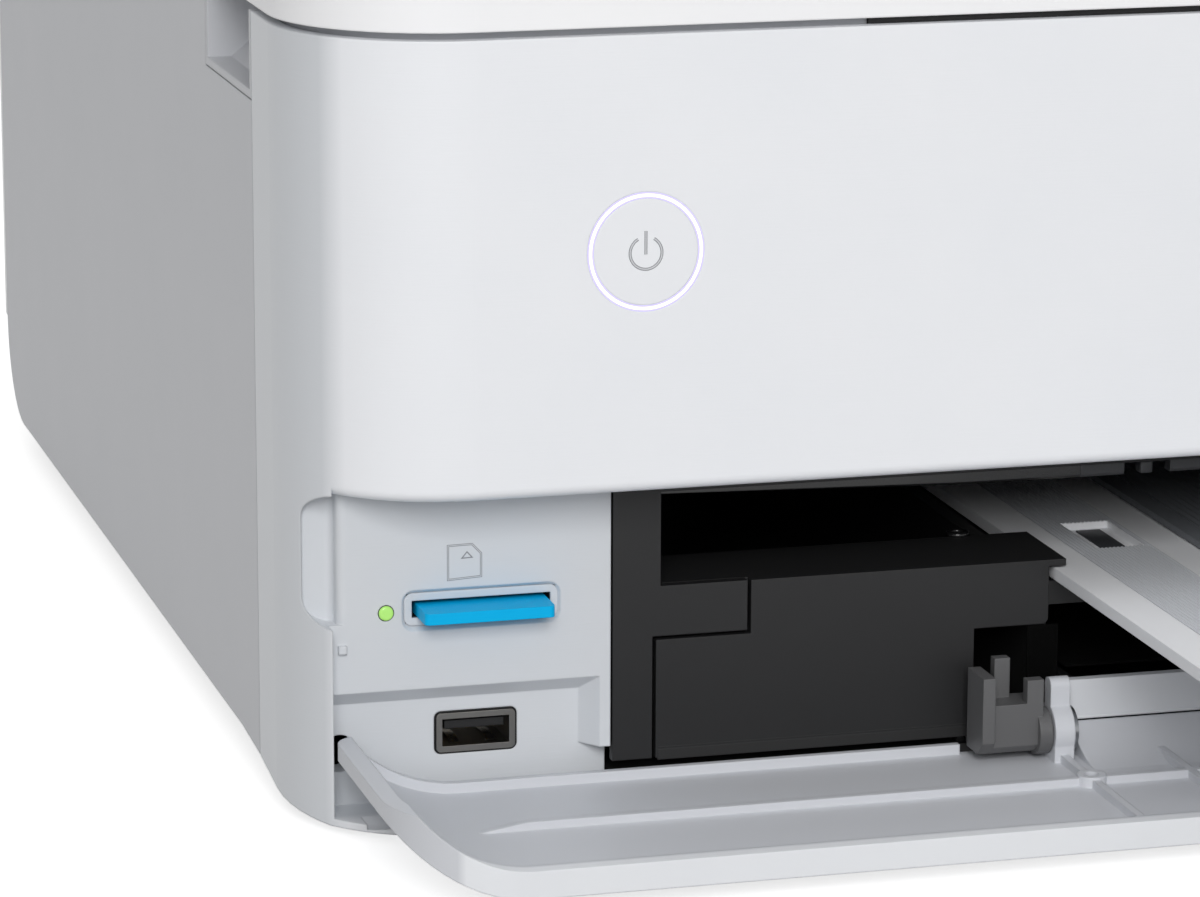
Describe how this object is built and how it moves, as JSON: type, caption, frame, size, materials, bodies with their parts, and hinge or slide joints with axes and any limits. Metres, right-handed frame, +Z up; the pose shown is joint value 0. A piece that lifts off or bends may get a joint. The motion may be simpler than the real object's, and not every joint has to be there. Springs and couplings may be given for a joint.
{
  "type": "multifunction inkjet printer",
  "caption": "White desktop multifunction printer: rounded box with a fold-down front cover, output tray, tilting panel, paper cassettes, lifting scanner with lid, memory card and host port.",
  "frame": {"origin": "middle of the underside of the bounding box, on the surface the printer stands on", "axes": "+X to the right as seen from the front, +Y towards the rear, +Z up"},
  "size_m": [0.523, 0.445, 0.169],
  "materials": {
    "black_plastic": "satin",
    "blue_card": "satin",
    "clear_plastic": "clear",
    "dark_gloss": "gloss",
    "foam": "matt",
    "glass": "polished",
    "green_board": "satin",
    "green_light": "glowing",
    "grey_plastic": "satin",
    "ink_plastic": "translucent",
    "lit_plastic": "glowing",
    "port_metal": "satin",
    "rubber": "matt",
    "steel": "satin",
    "white_plastic": "fine grained satin"
  },
  "bodies": {
    "printer_body": {"base_pan": "black_plastic", "feet": "rubber", "left_side_cover": "white_plastic", "right_side_cover": "white_plastic", "grip_cups": "white_plastic", "rear_cover": "white_plastic", "front_fascia": "white_plastic", "power_ring_light": "lit_plastic", "power_switch": "black_plastic", "card_slot": "black_plastic", "status_light": "green_light", "port_frame": "black_plastic", "port_shell": "port_metal", "port_tongue": "black_plastic", "inner_frame": "black_plastic", "inner_plate": "black_plastic", "hinge_bracket_left": "grey_plastic", "hinge_bracket_right": "grey_plastic", "hinge_pins": "steel", "tank_housing": "white_plastic", "tank_window": "clear_plastic", "ink_tanks": "ink_plastic", "top_frame": "black_plastic", "rear_top_cover": "white_plastic", "paper_chute": "black_plastic", "engine_frames": "steel", "carriage_rail": "steel", "main_board": "green_board", "mains_inlet": "black_plastic", "rear_sockets": "port_metal"},
    "control_panel": {"control_panel": "dark_gloss", "display_glass": "dark_gloss"},
    "power_button": {"power_button": "white_plastic"},
    "memory_card": {"memory_card": "blue_card"},
    "front_cover": {"front_cover": "white_plastic"},
    "output_tray": {"output_tray": "white_plastic"},
    "tray_extension": {"tray_extension": "grey_plastic"},
    "lower_cassette": {"lower_cassette": "white_plastic"},
    "paper_guide_left": {"paper_guide_left": "grey_plastic"},
    "paper_guide_right": {"paper_guide_right": "grey_plastic"},
    "upper_cassette": {"upper_cassette": "black_plastic"},
    "scanner_unit": {"scanner_unit": "white_plastic", "scanner_glass": "glass", "scan_rod": "steel", "lid_pins": "steel"},
    "scan_bar": {"scan_bar": "black_plastic"},
    "document_lid": {"document_lid": "white_plastic", "lid_pad": "foam"},
    "rear_flap": {"rear_flap": "white_plastic"},
    "feed_guide_left": {"feed_guide_left": "grey_plastic"},
    "feed_guide_right": {"feed_guide_right": "grey_plastic"},
    "print_carriage": {"print_carriage": "black_plastic"},
    "feed_roller": {"feed_roller": "rubber"},
    "ink_cap_1": {"ink_cap_1": "grey_plastic"},
    "ink_cap_2": {"ink_cap_2": "grey_plastic"},
    "ink_cap_3": {"ink_cap_3": "grey_plastic"},
    "ink_cap_4": {"ink_cap_4": "grey_plastic"},
    "ink_cap_5": {"ink_cap_5": "grey_plastic"},
    "ink_cap_6": {"ink_cap_6": "grey_plastic"}
  },
  "joints": [
    {"name": "front_cover_hinge", "type": "hinge", "parent": "printer_body", "child": "front_cover", "pos_m": [0, -0.1492, 0.011], "axis": [1, 0, 0], "range_deg": [-90, 0]},
    {"name": "output_tray_slide", "type": "slide", "parent": "printer_body", "child": "output_tray", "axis": [0, 1, 0], "range_m": [0, 0.1]},
    {"name": "tray_extension_slide", "type": "slide", "parent": "output_tray", "child": "tray_extension", "axis": [0, -1, 0], "range_m": [0, 0.1]},
    {"name": "lower_cassette_slide", "type": "slide", "parent": "printer_body", "child": "lower_cassette", "axis": [0, -1, 0], "range_m": [0, 0.25]},
    {"name": "paper_guide_left_slide", "type": "slide", "parent": "lower_cassette", "child": "paper_guide_left", "axis": [1, 0, 0], "range_m": [0, 0.04]},
    {"name": "paper_guide_right_slide", "type": "slide", "parent": "lower_cassette", "child": "paper_guide_right", "axis": [1, 0, 0], "range_m": [-0.04, 0]},
    {"name": "upper_cassette_slide", "type": "slide", "parent": "printer_body", "child": "upper_cassette", "axis": [0, -1, 0], "range_m": [0, 0.2]},
    {"name": "memory_card_slide", "type": "slide", "parent": "printer_body", "child": "memory_card", "axis": [0, -1, 0], "range_m": [0, 0.026]},
    {"name": "power_button_press", "type": "slide", "parent": "printer_body", "child": "power_button", "axis": [0, 1, 0], "range_m": [0, 0.0006], "stiffness_N_per_m": 300, "springref_m": -0.001},
    {"name": "control_panel_tilt", "type": "hinge", "parent": "printer_body", "child": "control_panel", "pos_m": [0, -0.1525, 0.1332], "axis": [-1, 0, 0], "range_deg": [0, 45]},
    {"name": "scanner_lift", "type": "hinge", "parent": "printer_body", "child": "scanner_unit", "pos_m": [0, 0.164, 0.1475], "axis": [-1, 0, 0], "range_deg": [0, 50]},
    {"name": "scan_bar_slide", "type": "slide", "parent": "scanner_unit", "child": "scan_bar", "axis": [1, 0, 0], "range_m": [0, 0.33]},
    {"name": "document_lid_hinge", "type": "hinge", "parent": "scanner_unit", "child": "document_lid", "pos_m": [0, 0.1605, 0.1636], "axis": [1, 0, 0], "range_deg": [-75, 0]},
    {"name": "rear_flap_hinge", "type": "hinge", "parent": "printer_body", "child": "rear_flap", "pos_m": [0, 0.2131, 0.16075], "axis": [-1, 0, 0], "range_deg": [0, 100]},
    {"name": "feed_guide_left_slide", "type": "slide", "parent": "printer_body", "child": "feed_guide_left", "axis": [1, 0, 0], "range_m": [0, 0.05]},
    {"name": "feed_guide_right_slide", "type": "slide", "parent": "printer_body", "child": "feed_guide_right", "axis": [1, 0, 0], "range_m": [-0.05, 0]},
    {"name": "print_carriage_slide", "type": "slide", "parent": "printer_body", "child": "print_carriage", "axis": [-1, 0, 0], "range_m": [0, 0.26]},
    {"name": "feed_roller_spin", "type": "hinge", "parent": "printer_body", "child": "feed_roller", "pos_m": [0, 0.0655, 0.068], "axis": [1, 0, 0], "continuous": true},
    {"name": "ink_cap_1_hinge", "type": "hinge", "parent": "printer_body", "child": "ink_cap_1", "pos_m": [0.159, -0.099, 0.1238], "axis": [-1, 0, 0], "range_deg": [0, 100]},
    {"name": "ink_cap_2_hinge", "type": "hinge", "parent": "printer_body", "child": "ink_cap_2", "pos_m": [0.173, -0.099, 0.1238], "axis": [-1, 0, 0], "range_deg": [0, 100]},
    {"name": "ink_cap_3_hinge", "type": "hinge", "parent": "printer_body", "child": "ink_cap_3", "pos_m": [0.187, -0.099, 0.1238], "axis": [-1, 0, 0], "range_deg": [0, 100]},
    {"name": "ink_cap_4_hinge", "type": "hinge", "parent": "printer_body", "child": "ink_cap_4", "pos_m": [0.201, -0.099, 0.1238], "axis": [-1, 0, 0], "range_deg": [0, 100]},
    {"name": "ink_cap_5_hinge", "type": "hinge", "parent": "printer_body", "child": "ink_cap_5", "pos_m": [0.215, -0.099, 0.1238], "axis": [-1, 0, 0], "range_deg": [0, 100]},
    {"name": "ink_cap_6_hinge", "type": "hinge", "parent": "printer_body", "child": "ink_cap_6", "pos_m": [0.229, -0.099, 0.1238], "axis": [-1, 0, 0], "range_deg": [0, 100]}
  ],
  "couplings": [
    {"joint": "output_tray_slide", "follows": "front_cover_hinge", "m_per_rad": -0.0636},
    {"joint": "paper_guide_right_slide", "follows": "paper_guide_left_slide", "ratio": -1},
    {"joint": "feed_guide_right_slide", "follows": "feed_guide_left_slide", "ratio": -1}
  ]
}
